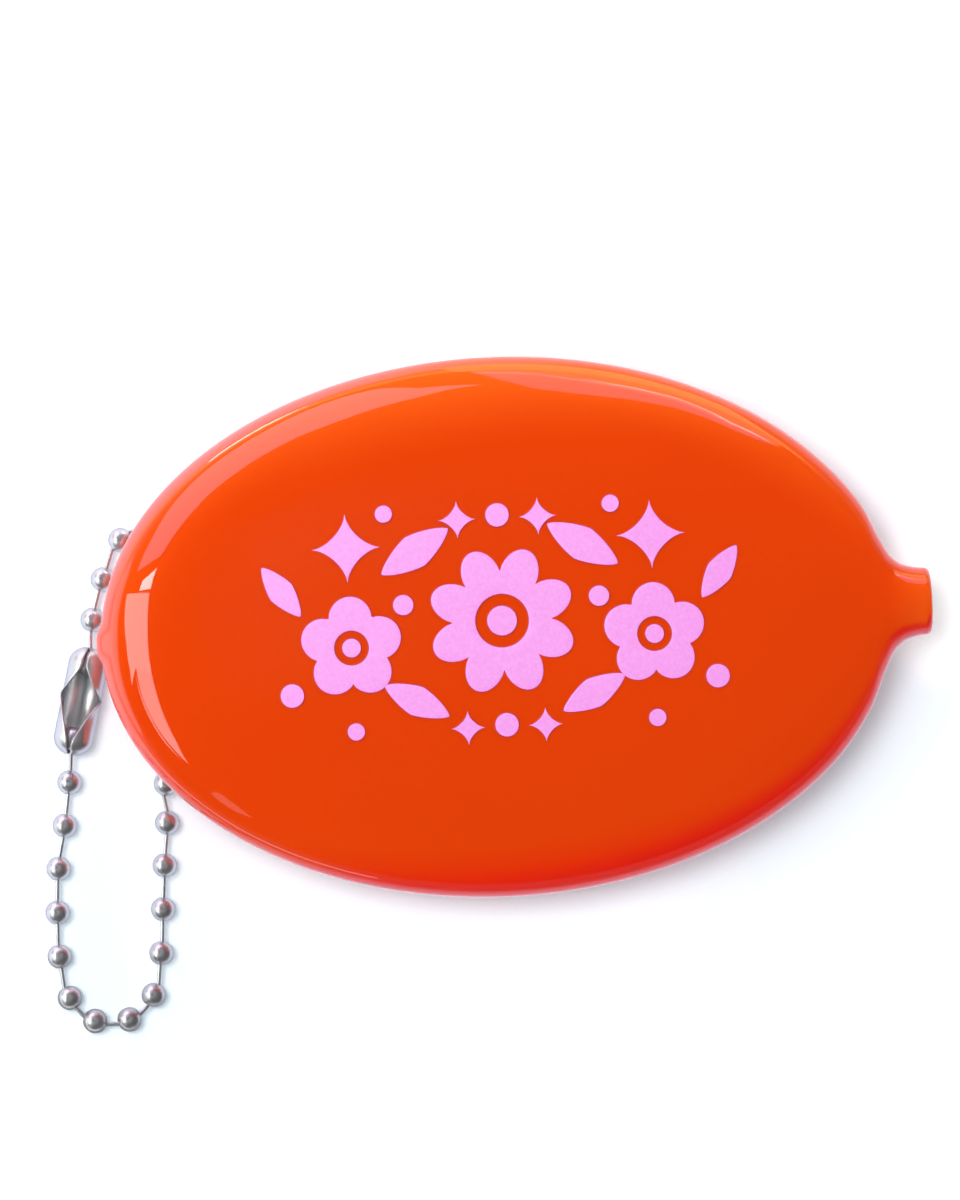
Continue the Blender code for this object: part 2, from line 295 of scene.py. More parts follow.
def bead_centres():
    centres = []
    for number in range(1, bead_count + 1):
        mesh = frame["nodes"][f"bead_{number:02d}"].data
        corners = np.array([v.co for v in mesh.vertices])
        centres.append(Vector((corners.min(axis=0) + corners.max(axis=0)) / 2))
    return centres


def skin_grid(holes):
    """Stations and angles of the skin's grid, drawn in to a round hole at each punched place."""
    straight = station_of(neck_end - neck_end_round)
    dense = station_of(dense_from)
    us = np.concatenate([
        np.arange(1, left_stations) / left_stations,
        np.linspace(1, dense, middle_stations + 1)[:-1],
        np.linspace(dense, straight, neck_stations + 1),
    ])
    angles = 2 * math.pi * np.arange(ring_count) / ring_count
    u, angle = np.meshgrid(us, angles, indexing="ij")
    blocks = []
    for centre in holes:
        row = int(np.argmin(np.abs(us - float(station_of(centre.x)))))
        column = round(back_turn(centre.x, centre.y) / (2 * math.pi) * ring_count)
        blocks.append((row, column))
        for i in range(len(us)):
            for j in range(ring_count):
                m = max(abs(i - row) / hole_stations, abs(j - column) / hole_angles)
                if m == 0 or m >= 1 + hole_calm:
                    continue
                x = float(station(us[i]))
                y = float(section(x)[0]) * math.cos(angles[j])
                offset = Vector((x - centre.x, y - centre.y))
                share = 1 - float(smooth_step((m - 1) / hole_calm))
                aim = Vector((centre.x, centre.y)) + offset.normalized() * punched_hole_radius * m
                there = Vector((x, y)).lerp(aim, share)
                u[i, j] = float(station_of(there.x))
                angle[i, j] = back_turn(there.x, there.y)
    return us, u, angle, blocks


def mesh_object(name, points, faces, normals=None):
    """An object at the pouch's place, from points, faces and perhaps normals of the faces' corners."""
    mesh = bpy.data.meshes.new(name)
    mesh.from_pydata([tuple(p) for p in points], [], faces)
    mesh.shade_smooth()
    if normals is not None:
        mesh.normals_split_custom_set([tuple(n) for n in normals])
    mesh.validate()
    obj = put_in_scene(name, mesh)
    obj.location = pouch_place
    return obj


def slit_knots(us):
    """Where the soft strips of the back meet: row of the grid, station, share of the lips' motion."""
    knots = []
    for step in range(slit_strips + 1):
        aim = slit_half_length * (2 * step / slit_strips - 1)
        row = int(np.argmin(np.abs(station(us) - aim)))
        x = float(station(us[row]))
        last = step in (0, slit_strips)
        knots.append((row, x, 0.0 if last else math.cos(math.pi / 2 * x / slit_half_length)))
    return knots


def build_skin(holes):
    """The pouch in closed pieces: the body, and the soft strips of the back on each side of the slit."""
    us, u, angle, blocks = skin_grid(holes)
    knots = slit_knots(us)
    outer = skin(u, angle)
    normal = skin_normal(u, angle)
    rows, count = u.shape
    slit_column = count * 3 // 4
    share = np.interp(outer[..., 0], [x for _, x, _ in knots], [a for _, _, a in knots])
    loose = (np.sin(angle) < 0) & (np.abs(outer[..., 1]) < slit_reach * share)
    quads = {"body": []}
    for half in ("upper", "lower"):
        quads.update({f"{half}_{strip}": [] for strip in range(1, slit_strips + 1)})
    for i in range(rows - 1):
        for j in range(count):
            k = (j + 1) % count
            if any(
                row - hole_stations <= i < row + hole_stations
                and column - hole_angles <= j < column + hole_angles
                for row, column in blocks
            ):
                continue
            if loose[i, j] or loose[i + 1, j] or loose[i, k] or loose[i + 1, k]:
                half = "upper" if j >= slit_column else "lower"
                strip = sum(row <= i for row, _, _ in knots)
                quads[f"{half}_{min(max(strip, 1), slit_strips)}"].append((i, j))
            else:
                quads["body"].append((i, j))
    inner = outer - normal * wall
    pieces = {}
    for name, cells in quads.items():
        gap = {"upper": 1, "lower": -1}.get(name.split("_")[0], 0)
        pieces[name] = shell_piece(name, cells, outer, inner, normal, slit_column, gap, rows - 1)
    return pieces, knots


def shell_piece(name, cells, outer, inner, normal, slit_column, gap, last_row):
    """Closes a set of the grid's cells between the outer and inner skin."""
    count = outer.shape[1]
    points, faces, normals, index = [], [], [], {}

    def corner(i, j, side):
        key = (i, j % count, side)
        if key not in index:
            index[key] = len(points)
            point = (outer if side else inner)[i, j % count].copy()
            if gap and j % count == slit_column:
                room = float(smooth_step((slit_half_length - abs(point[0])) / slit_taper))
                point[1] += gap * slit_half_gap * room
            points.append(point)
        return index[key]

    def add(face, corners):
        faces.append(face)
        normals.extend(corners)

    edges = {}
    for i, j in cells:
        ring = [(i, j), (i, j + 1), (i + 1, j + 1), (i + 1, j)]
        outward = [normal[a, b % count] for a, b in ring]
        add([corner(a, b, 1) for a, b in ring], outward)
        add([corner(a, b, 0) for a, b in reversed(ring)], [-n for n in reversed(outward)])
        for (a, b), (c, d) in zip(ring, ring[1:] + ring[:1]):
            here, there = (a, b % count), (c, d % count)
            if (there, here) in edges:
                del edges[(there, here)]
            else:
                edges[(here, there)] = True
    if name == "body":
        tip_outer, tip_inner = len(points), len(points) + 1
        points.append(skin(np.asarray(0.0), np.asarray(0.0)))
        points.append(points[-1] + np.array([wall, 0, 0]))
        left = np.array([-1.0, 0, 0])
        for j in range(count):
            k = (j + 1) % count
            add([tip_outer, corner(0, k, 1), corner(0, j, 1)], [left, normal[0, k], normal[0, j]])
            add([tip_inner, corner(0, j, 0), corner(0, k, 0)], [-left, -normal[0, j], -normal[0, k]])
        neck_tip(points, add, corner, last_row, count)
    for a, b in edges:
        if a[0] == b[0] and a[0] in (0, last_row) and name == "body":
            continue
        face = [corner(*b, 1), corner(*a, 1), corner(*a, 0), corner(*b, 0)]
        p, q, r = (np.array(points[v]) for v in face[:3])
        flat = np.cross(q - p, r - q)
        flat = flat / max(np.linalg.norm(flat), least_length)
        add(face, [flat] * 4)
    return mesh_object(f"pouch_{name}" if name == "body" else f"back_{name}", points, faces, normals)


def neck_tip(points, add, corner, last_row, count):
    """Rounds the neck's end and turns it in to the bore."""
    straight = neck_end - neck_end_round
    profile = []
    for step in range(1, neck_round_steps + 1):
        turn = math.pi / 2 * step / neck_round_steps
        x = straight + neck_end_round * math.sin(turn)
        profile.append((x, neck_end_round * (1 - math.cos(turn)), turn))
    for step in range(neck_round_steps):
        turn = math.pi / 2 * (1 + step / neck_round_steps)
        x = neck_end - neck_mouth_round * (1 - math.sin(turn))
        profile.append((x, wall - neck_mouth_round * (1 + math.cos(turn)), turn))
    half, up, down = (float(v) for v in section(straight)[:3])
    rings = [[corner(last_row, j, 1) for j in range(count)]]
    turns = [0.0]
    for x, shrink, turn in profile:
        first = len(points)
        for j in range(count):
            a = 2 * math.pi * j / count
            tall = up if math.sin(a) >= 0 else down
            bow = neck_end_bow * math.cos(a) ** 2
            y = (half - shrink) * math.cos(a) + neck_side
            points.append(np.array([x - bow, y, rim_height + (tall - shrink) * math.sin(a)]))
        rings.append(list(range(first, first + count)))
        turns.append(turn)
    rings.append([corner(last_row, j, 0) for j in range(count)])
    turns.append(math.pi)

    def facing_out(turn, j):
        a = 2 * math.pi * j / count
        return np.array([math.sin(turn), math.cos(turn) * math.cos(a), math.cos(turn) * math.sin(a)])

    for r in range(len(rings) - 1):
        for j in range(count):
            corners = [(r, j), (r, (j + 1) % count), (r + 1, (j + 1) % count), (r + 1, j)]
            add([rings[a][b] for a, b in corners], [facing_out(turns[a], b) for a, b in corners])


# Print
def petals(theta, count, depth):
    return 1 - depth * (1 - np.abs(np.cos(count * theta / 2)) ** petal_power)


def pointed(theta, long, wide, power):
    across = (np.abs(np.sin(theta)) / wide) ** power
    return ((np.abs(np.cos(theta)) / long) ** power + across) ** (-1 / power)


# Each motif's formula, with the number and depth of its petals, or its length, width and power
motifs = {
    "daisy": (petals, 8, 0.34),
    "blossom": (petals, 5, 0.3),
    "leaf": (pointed, 1, 0.42, 1.35),
    "sparkle": (pointed, 1, 1, 0.66),
}


def motif(kind, theta):
    """A motif's radius in each direction, as a share of its size."""
    if kind == "dot":
        return np.ones_like(theta)
    formula, *values = motifs[kind]
    return formula(theta, *values)


def print_layout():
    """Each motif as (kind, x, y, size, turn in degrees, share of its size left open)."""
    layout = [("daisy", 0, 0, 9.6, 22.5, 0.36), ("dot", 0, 0, 1.9, 0, 0)]
    for side in (-1, 1):
        layout += [
            ("blossom", side * 19.5, -2.6, 6.6, 90, 0.34),
            ("dot", side * 19.5, -2.6, 1.2, 0, 0),
            ("leaf", side * 10.8, 9.4, 5.2, 90 + side * 58, 0),
            ("leaf", side * 11.4, -9.8, 4.6, 90 - side * 62, 0),
            ("sparkle", side * 19.6, 10.2, 4.4, 0, 0),
            ("leaf", side * 28.2, 5.0, 4.0, 90 - side * 36, 0),
            ("dot", side * 12.6, 2.6, 1.3, 0, 0),
            ("dot", side * 27.4, -8.4, 1.5, 0, 0),
            ("dot", side * 14.6, 14.4, 1.1, 0, 0),
            ("dot", side * 19.4, -13.4, 1.1, 0, 0),
        ]
    layout += [("dot", 0, 13.6, 1.5, 0, 0), ("dot", 0, -13.4, 1.5, 0, 0)]
    layout += [("sparkle", side * 5.2, 13.2, 2.4, 0, 0) for side in (-1, 1)]
    layout += [("sparkle", side * 5.0, -13.6, 2.2, 0, 0) for side in (-1, 1)]
    return layout


def build_print():
    """Thin closed films on the front, in one piece: pink, with a fine dark edge."""
    points, faces, dark = [], [], []
    theta = 2 * math.pi * np.arange(print_segments) / print_segments
    neighbours = [(j, (j + 1) % print_segments) for j in range(print_segments)]
    for kind, x, y, size, turn, open_share in print_layout():
        radius = motif(kind, theta) * size * MM
        way = theta + math.radians(turn)
        inner = open_share * size * MM
        middle = (print_middle[0] + x * MM, print_middle[1] + y * MM)
        rings = []

        def ring(distance, lift):
            first = len(points)
            around_it = (middle[0] + distance * np.cos(way), middle[1] + distance * np.sin(way))
            points.extend(front_point(*around_it, lift))
            rings.append(list(range(first, first + print_segments)))

        if open_share:
            ring(inner - print_edge, -print_sunk)
            ring(inner - print_edge, print_edge_share * print_thickness)
            ring(inner, print_thickness)
        for step in range(1, print_rings + 1):
            share = step / print_rings
            ring(inner + (radius - inner) * share, print_thickness)
        ring(radius + print_edge, print_edge_share * print_thickness)
        ring(radius + print_edge, -print_sunk)
        edge_rows = {len(rings) - 3, len(rings) - 2}
        if open_share:
            edge_rows |= {0, 1}
        for r in range(len(rings) - 1):
            for j, k in neighbours:
                faces.append((rings[r][j], rings[r + 1][j], rings[r + 1][k], rings[r][k]))
                dark.append(r in edge_rows)
        if open_share:
            for j, k in neighbours:
                faces.append((rings[-1][j], rings[0][j], rings[0][k], rings[-1][k]))
                dark.append(True)
        else:
            for rim, lift, edge in ((rings[0], print_thickness, False), (rings[-1], -print_sunk, True)):
                hub = len(points)
                points.append(front_point(*middle, lift))
                for j, k in neighbours:
                    faces.append((hub, rim[k], rim[j]) if edge else (hub, rim[j], rim[k]))
                    dark.append(edge)
    return mesh_object("front_print", points, faces), dark


# Chain
def lathe(profile, segments, closed):
    """Points and faces of a profile of (along, radius) turned about X."""
    points, rows = [], []
    for along, radius in profile:
        if radius == 0:
            rows.append([len(points)] * segments)
            points.append((along, 0, 0))
            continue
        rows.append([len(points) + i for i in range(segments)])
        for i in range(segments):
            a = 2 * math.pi * i / segments
            points.append((along, radius * math.cos(a), radius * math.sin(a)))
    faces = []
    for row in range(len(rows) if closed else len(rows) - 1):
        here, there = rows[row], rows[(row + 1) % len(rows)]
        for i in range(segments):
            j = (i + 1) % segments
            faces.append(tuple(dict.fromkeys((here[i], here[j], there[j], there[i]))))
    return points, faces


def ball_profile(radius, start, steps, way):
    """Half a circle from one hole of a bead to the other."""
    turns = [start + (math.pi - 2 * start) * i / steps for i in range(steps + 1)]
    return [(way * radius * math.cos(a), radius * math.sin(a)) for a in turns]


def bead_mesh():
    """A hollow bead whose two holes turn in to a small round lip."""
    start = math.asin((bead_hole_radius + bead_lip) / bead_radius)
    end = bead_radius * math.cos(start)
    lip = [
        (end - bead_lip * (bead_lip_set_in + math.sin(a)) * bead_lip_depth,
         bead_hole_radius + bead_lip * (1 - math.sin(a)))
        for a in bead_lip_turns
    ]
    inside = bead_radius - bead_wall
    inner_start = math.asin((bead_hole_radius + bead_inner_clearance) / inside)
    profile = ball_profile(bead_radius, start, bead_steps, -1) + lip
    profile += ball_profile(inside, inner_start, bead_inner_steps, 1)
    profile += [(-x, r) for x, r in reversed(lip)]
    return lathe(profile, bead_segments, True)


def link_mesh():
    """A rod with a round head at each end."""
    core = link_rod_radius * link_head_core
    half_thick = link_head_thickness / 2
    profile = [(-link_half_length, 0)]
    for a in link_head_turns:
        along = -link_half_length + half_thick - half_thick * math.cos(a)
        profile.append((along, core + (link_head_radius - core) * math.sin(a)))
    profile.append((-link_half_length + link_head_thickness * link_head_reach, link_rod_radius))
    profile += [(-x, r) for x, r in reversed(profile)]
    return lathe(profile, link_segments, False)


def connector_reach(x):
    """Radius of the connector's outside at a place along it."""
    shoulder = connector_half_length - math.sqrt(connector_radius**2 - connector_end_hole**2)
    beyond = max(0, abs(x) - shoulder)
    return math.sqrt(max(connector_end_hole**2 * connector_end_share, connector_radius**2 - beyond**2))


def diamond_half(x):
    """Half-width of the connector's opening at a place along it."""
    end = diamond_ends[0] if x < diamond_widest_at else diamond_ends[1]
    return max(0, diamond_half_width * (end - x) / (end - diamond_widest_at))


def connector_mesh():
    """A capsule of rolled sheet, open along the top in a diamond with a slot to each end."""
    half_sheet = connector_sheet / 2
    arcs = connector_arcs

    def beside(place, turn):
        """A point on the sheet's outside, or at a turn from it on its edge or inside."""
        y, z, a = place
        return y + half_sheet * math.sin(a + turn), z + half_sheet * math.cos(a + turn)

    rings, points, faces = [], [], []
    for i in range(connector_stations + 1):
        sweep = math.pi * (connector_end_trim + (1 - 2 * connector_end_trim) * i / connector_stations)
        x = -connector_half_length * math.cos(sweep) / math.cos(math.pi * connector_end_trim)
        radius = connector_reach(x) - half_sheet
        opening = math.hypot(diamond_half(x), connector_slot_half)
        gap = math.asin(min(widest_opening, opening / (radius * connector_spread)))
        flare = diamond_flare * min(1, diamond_half(x) / (2 * connector_slot_half))
        middle = []
        for side in range(arcs + 1):
            a = gap + (2 * math.pi - 2 * gap) * side / arcs
            from_edge = min(a - gap, 2 * math.pi - gap - a) * radius
            lift = max(0, 1 - from_edge / diamond_flare_reach) ** 2
            y = (radius * connector_spread + flare * lift) * math.sin(a)
            middle.append((y, radius * math.cos(a), a))
        row = [beside(place, 0) for place in middle]
        row += [beside(middle[-1], turn) for turn in connector_edge_turns]
        row += [beside(place, math.pi) for place in reversed(middle)]
        row += [beside(middle[0], -turn) for turn in reversed(connector_edge_turns)]
        first = len(points)
        points.extend((x, y, z) for y, z in row)
        rings.append(list(range(first, first + len(row))))
    count = len(rings[0])
    for here, there in zip(rings, rings[1:]):
        for i in range(count):
            j = (i + 1) % count
            faces.append((here[i], here[j], there[j], there[i]))
    half = arcs + 1
    turned = len(connector_edge_turns)
    for end in (rings[0], rings[-1]):
        outer, inner = end[:half], end[half + turned:2 * half + turned]
        for i in range(arcs):
            faces.append((outer[i], outer[i + 1], inner[arcs - i - 1], inner[arcs - i]))
        faces.append((outer[-1], *end[half:half + turned], inner[0]))
        faces.append((inner[-1], *end[2 * half + turned:], outer[0]))
    return points, faces


def facing(point, direction):
    """The matrix that puts local X along a direction, with local Y kept level."""
    along = direction.normalized()
    level = Vector((0, 0, 1)).cross(along).normalized()
    turn = Matrix((along, level, along.cross(level))).transposed()
    return Matrix.Translation(point) @ turn.to_4x4()


def outward_mesh(name, points, faces, crease):
    """A mesh with its faces turned outwards."""
    mesh = bpy.data.meshes.new(name)
    mesh.from_pydata(points, [], faces)
    work = bmesh.new()
    work.from_mesh(mesh)
    bmesh.ops.recalc_face_normals(work, faces=work.faces)
    work.to_mesh(mesh)
    work.free()
    mesh.shade_smooth()
    mesh.set_sharp_from_angle(angle=math.radians(crease))
    return mesh


def chain_directions(centres):
    """The way the chain runs through each bead. The two held beads lie along the connector."""
    ways = []
    for i, here in enumerate(centres):
        before, after = centres[i - 1], centres[(i + 1) % len(centres)]
        if i in held_beads:
            ways.append((centres[held_beads[1]] - centres[held_beads[0]]).normalized())
        else:
            ways.append(((after - here).normalized() + (here - before).normalized()).normalized())
    return ways


def build_chain(centres, nickel):
    """Beads, links and connector, each riding with the body of the node that it replaces."""
    bodies = frame["record"]["behaviour"]["bodies"]
    body_of = {node_name: body for body, names in bodies.items() for node_name in names}
    for centre in centres:
        for axis in (0, 1):
            low, high = cad_box[0][axis] + bead_radius, cad_box[1][axis] - bead_radius
            centre[axis] = max(low, min(high, centre[axis]))
    ways = chain_directions(centres)
    inside = bead_radius - bead_wall
    reach = sum(math.sqrt(radius**2 - bead_hole_radius**2) for radius in (bead_radius, inside)) / 2
    bead = outward_mesh("bead", *bead_mesh(), chain_crease)
    link = outward_mesh("link", *link_mesh(), chain_crease)
    connector = outward_mesh("connector", *connector_mesh(), connector_crease)
    for mesh in (bead, link, connector):
        mesh.materials.append(nickel)
    spin = random.Random(bead_spin_seed)

    def put(name, mesh, node_name, matrix):
        placed = mesh.copy()
        placed.transform(matrix)
        obj = put_in_scene(name, placed)
        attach(obj, body_of[node_name])
        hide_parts(node_name)

    number = 0
    for i, centre in enumerate(centres):
        turned = facing(centre, ways[i]) @ Matrix.Rotation(spin.uniform(0, math.tau), 4, "X")
        put(f"chain_bead_{i + 1:02d}", bead, f"bead_{i + 1:02d}", turned)
        if i == held_beads[0]:
            continue
        number += 1
        after = (i + 1) % len(centres)
        ends = centre + ways[i] * reach, centres[after] - ways[after] * reach
        at = facing((ends[0] + ends[1]) / 2, ends[1] - ends[0])
        put(f"chain_link_{number:02d}", link, f"link_{number:02d}", at)
    ends = [centres[i] for i in held_beads]
    middle = (ends[0] + ends[1]) / 2 + Vector((0, 0, connector_raise))
    rolled = Matrix.Rotation(math.radians(connector_roll), 4, "X")
    put("snap_connector", connector, "connector", facing(middle, ends[1] - ends[0]) @ rolled)


# Shader nodes
def feed(tree, socket, source):
    """Links a socket to a node's output, or gives it a plain value."""
    if isinstance(source, bpy.types.NodeSocket):
        tree.links.new(source, socket)
    else:
        socket.default_value = source


def node(tree, kind, **settings):
    """A node with its options set, and its inputs set or linked."""
    made = tree.nodes.new(kind)
    for key, value in settings.items():
        if key in made.inputs:
            feed(tree, made.inputs[key], value)
        else:
            setattr(made, key, value)
    return made


def in_order(tree, kind, sources, **settings):
    """The outputs of a node whose inputs are fed in their order."""
    made = node(tree, kind, **settings)
    for socket, source in zip(made.inputs, sources):
        feed(tree, socket, source)
    return made.outputs


def maths(tree, operation, *sources):
    return in_order(tree, "ShaderNodeMath", sources, operation=operation)["Value"]


def vectors(tree, operation, *sources):
    single = operation in ("DOT_PRODUCT", "LENGTH", "DISTANCE")
    outputs = in_order(tree, "ShaderNodeVectorMath", sources, operation=operation)
    return outputs["Value" if single else "Vector"]


def mixed(tree, factor, first, second):
    """A blend of two colours, each a socket or three numbers."""
    made = node(tree, "ShaderNodeMix", data_type="RGBA")
    for key, source in (("Factor", factor), ("A", first), ("B", second)):
        feed(tree, made.inputs[key], (*source, 1) if isinstance(source, tuple) else source)
    return made.outputs["Result"]


def eased(tree, source, start, end, low=0, high=1):
    """A value eased from low to high while the source goes from start to end."""
    ends = {"From Min": start, "From Max": end, "To Min": low, "To Max": high}
    made = node(tree, "ShaderNodeMapRange", interpolation_type="SMOOTHSTEP", Value=source, **ends)
    return made.outputs["Result"]


def noise(tree, where, pattern):
    """A noise with a pattern of (scale in cycles to a metre, detail)."""
    scale, detail = pattern
    return node(tree, "ShaderNodeTexNoise", Vector=where, Scale=scale, Detail=detail).outputs["Fac"]


def ranged_noise(tree, where, pattern, low, high):
    """A noise whose middle part is spread over a range."""
    ends = {"From Min": noise_span[0], "From Max": noise_span[1], "To Min": low, "To Max": high}
    source = noise(tree, where, pattern)
    return node(tree, "ShaderNodeMapRange", Value=source, **ends).outputs["Result"]


def bump(tree, height, strength, distance):
    made = node(tree, "ShaderNodeBump", Height=height, Strength=strength, Distance=distance)
    return made.outputs["Normal"]


def part_material(name):
    """A material of the part, its node tree, and the place on the object."""
    made = bpy.data.materials.new(name)
    made.use_nodes = True
    tree = made.node_tree
    return made, tree, node(tree, "ShaderNodeTexCoord").outputs["Object"]


def set_finish(tree, settings):
    shader = tree.nodes["Principled BSDF"]
    for key, source in settings.items():
        feed(tree, shader.inputs[key], source)


def empty_tree(owner):
    """The node tree of a stage material or the world, without nodes."""
    owner.use_nodes = True
    owner.node_tree.nodes.clear()
    return owner.node_tree


# Materials: noises are (scale in cycles to a metre, detail), and bumps are (strength, distance)
noise_span = (0.3, 0.7)

vinyl_tones = ((0.76, 0.048, 0.0006), (0.785, 0.053, 0.0008))
vinyl_tone_noise = (60.0, 2.0)
vinyl_roughness = (0.018, 0.034)
vinyl_roughness_noise = (140.0, 2.0)
vinyl_wave = (0.12, 0.0006)
vinyl_wave_noise = (70.0, 1.0)
vinyl_index = 1.53
sheen_weight = 0.7
sheen_roughness = 0.22
sheen_tint = (1, 0.86, 1.0, 1)

# The vinyl's colour near its rim, painted light and shade: lighter orange towards the upper left, top and
# upper right, deeper red at the bottom: direction over the front, start and end as shares, colour
rim_painted_light_and_shade = (
    ((-0.8, 0.45), 0.55, 0.98, (0.92, 0.085, 0.004)),
    ((0.55, 0.83), 0.6, 1.0, (0.88, 0.09, 0.004)),
    ((-0.15, 0.99), 0.42, 1.0, (0.97, 0.125, 0.008)),
    ((0.15, -0.99), 0.6, 0.97, (0.82, 0.016, 0.001)),
)
# A painted reflection: a thin pink rim on the left, where the glossy edge mirrors the white floor: start
# and end as shares, side it lies on, start and end of that, colour
painted_rim_reflection = ((0.95, 0.985), (-1, 0.5, 0), (0.5, 0.95), (0.97, 0.145, 0.1))
# Painted light: the vinyl is lighter towards the neck's end: start and end along X, colour
painted_neck_light = ((49.5 * MM, 56.5 * MM), (0.84, 0.085, 0.004))
# The vinyl is a deeper red where it leans away from the light: way it faces, start and end, colour
lean_tint = ((0.5, -0.86, 0), (0.45, 0.7), (0.76, 0.014, 0.004))

nickel_tones = ((0.63, 0.645, 0.645), (0.75, 0.765, 0.765))
nickel_tone_noise = (900.0, 3.0)
nickel_metallic = 0.93
nickel_edge_tint = (0.32, 0.32, 0.36, 1)
nickel_roughness = (0.3, 0.34)
nickel_roughness_noise = (1400.0, 3.0)
nickel_dent = (0.06, 0.0001)
nickel_dent_noise = (1100.0, 2.0)

# Inks as (tone, deeper tone)
pink_ink = ((0.96, 0.36, 0.86), (0.90, 0.30, 0.78))
dark_ink = ((0.62, 0.02, 0.03), (0.5, 0.012, 0.02))
ink_tone_noise = (2600.0, 3.0)
ink_roughness = 0.42
ink_grain = (0.2, 0.00005)
ink_grain_noise = (3200.0, 2.0)


def vinyl_material():
    """Dip-moulded vinyl: high gloss, faint waviness, with painted light and shade near the rim, a painted
    pink reflection on the left rim, and painted light towards the neck's end.
    """
    made, tree, where = part_material("orange_vinyl")
    colour = mixed(tree, noise(tree, where, vinyl_tone_noise), *vinyl_tones)
    share = vectors(tree, "MULTIPLY", where, (1 / tip, 2 / oval_width, 0))
    out_from_middle = vectors(tree, "LENGTH", share)
    # Painted light and shade near the rim: lighter towards the upper left, top and upper right, deeper red
    # at the bottom
    for way, start, end, tint in rim_painted_light_and_shade:
        towards = vectors(tree, "DOT_PRODUCT", share, (*way, 0))
        reach = maths(tree, "MULTIPLY", out_from_middle, towards)
        colour = mixed(tree, eased(tree, reach, start, end), colour, tint)
    # Painted reflection: a thin pink rim on the left
    outermost = eased(tree, out_from_middle, *painted_rim_reflection[0])
    on_left = eased(tree, vectors(tree, "DOT_PRODUCT", share, painted_rim_reflection[1]), *painted_rim_reflection[2])
    colour = mixed(tree, maths(tree, "MULTIPLY", outermost, on_left), colour, painted_rim_reflection[3])
    # Painted light: lighter towards the neck's end
    along = node(tree, "ShaderNodeSeparateXYZ", Vector=where).outputs["X"]
    colour = mixed(tree, eased(tree, along, *painted_neck_light[0]), colour, painted_neck_light[1])
    normal = node(tree, "ShaderNodeTexCoord").outputs["Normal"]
    leaning = eased(tree, vectors(tree, "DOT_PRODUCT", normal, lean_tint[0]), *lean_tint[1])
    set_finish(tree, {
        "Base Color": mixed(tree, leaning, colour, lean_tint[2]),
        "Roughness": ranged_noise(tree, where, vinyl_roughness_noise, *vinyl_roughness),
        "Normal": bump(tree, noise(tree, where, vinyl_wave_noise), *vinyl_wave),
        "IOR": vinyl_index,
        "Sheen Weight": sheen_weight,
        "Sheen Roughness": sheen_roughness,
        "Sheen Tint": sheen_tint,
    })
    return made


def nickel_material():
    """Nickel plate: bright, a little cloudy, with fine wear."""
    made, tree, where = part_material("nickel_plate")
    set_finish(tree, {
        "Base Color": mixed(tree, noise(tree, where, nickel_tone_noise), *nickel_tones),
        "Metallic": nickel_metallic,
        "Specular Tint": nickel_edge_tint,
        "Roughness": ranged_noise(tree, where, nickel_roughness_noise, *nickel_roughness),
        "Normal": bump(tree, noise(tree, where, nickel_dent_noise), *nickel_dent),
    })
    return made


def ink_material(name, tone, deep_tone):
    """Screen ink: satin, with a fine grain."""
    made, tree, where = part_material(name)
    cloud = ranged_noise(tree, where, ink_tone_noise, 0, 1)
    set_finish(tree, {
        "Base Color": mixed(tree, cloud, deep_tone, tone),
        "Roughness": ink_roughness,
        "Normal": bump(tree, noise(tree, where, ink_grain_noise), *ink_grain),
    })
    return made


# Stage
# The white floor: each side and reach is a pair of distances in metres between which its tone changes
floor_size = 3.0
floor_tone = 0.9
floor_tone_in_gloss = 0.25
floor_lift = 0.12
floor_lift_tint = (0.78, 1.62, 1.85)
floor_gloss_tint = (0.9, 0.93, 1.16)
near_in_gloss = 0.8
bright_in_gloss = 1.0
bright_way = (-0.8, 0.6, 0)
bright_side = (0.02, 0.05)
white_reach = (0.07, 0.1)
white_further_on_bright_side = 0.035
# Painted shadow: the floor is darker on the lower right, close to the pouch
painted_shadow_side = (-0.03, -0.046)
painted_shadow_reach = (0.056, 0.066)
painted_shadow_tone = 0.78
# Painted light: a spot beyond the neck's end is lifted to white, clearing the shadow there
painted_light_place = (61 * MM, 8 * MM, 0)
painted_light_reach = (0.005, 0.013)
painted_light_tint = (3.3, 3.8, 3.8)

# The world in the gloss, and on matt surfaces: an even fill, a soft spot high up and a band low down
dark_studio = 0.06
fill = 0.27
fill_tint = (0.98, 0.98, 1.03)
key_way = (146, 16)
key_reach = (18, 6)
key_radiance = 12.8
band_reach = (24, 12)
band_radiance = 1.7
band_lean = (-0.18, 0.3, 0)

